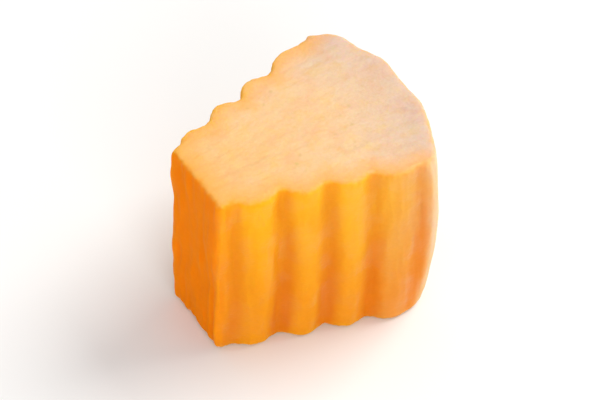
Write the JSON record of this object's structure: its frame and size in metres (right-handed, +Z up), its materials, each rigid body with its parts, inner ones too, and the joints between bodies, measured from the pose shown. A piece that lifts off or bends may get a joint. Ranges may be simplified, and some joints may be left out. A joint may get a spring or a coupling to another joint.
{
  "type": "cut muskmelon piece",
  "caption": "Fan-shaped piece of peeled orange muskmelon flesh with crinkle-cut sides, a rounded rind side and a narrow seed side, standing on its flat cross cut.",
  "frame": {"origin": "on the surface that the piece stands on, under the middle of its box", "axes": "+Z up, away from the lower cross cut; +X from the seed side to the rind side"},
  "size_m": [0.0356, 0.0302, 0.0299],
  "materials": {
    "melon_flesh": "moist, soft, slightly translucent"
  },
  "bodies": {
    "root": {"muskmelon_piece": "melon_flesh"}
  },
  "joints": []
}
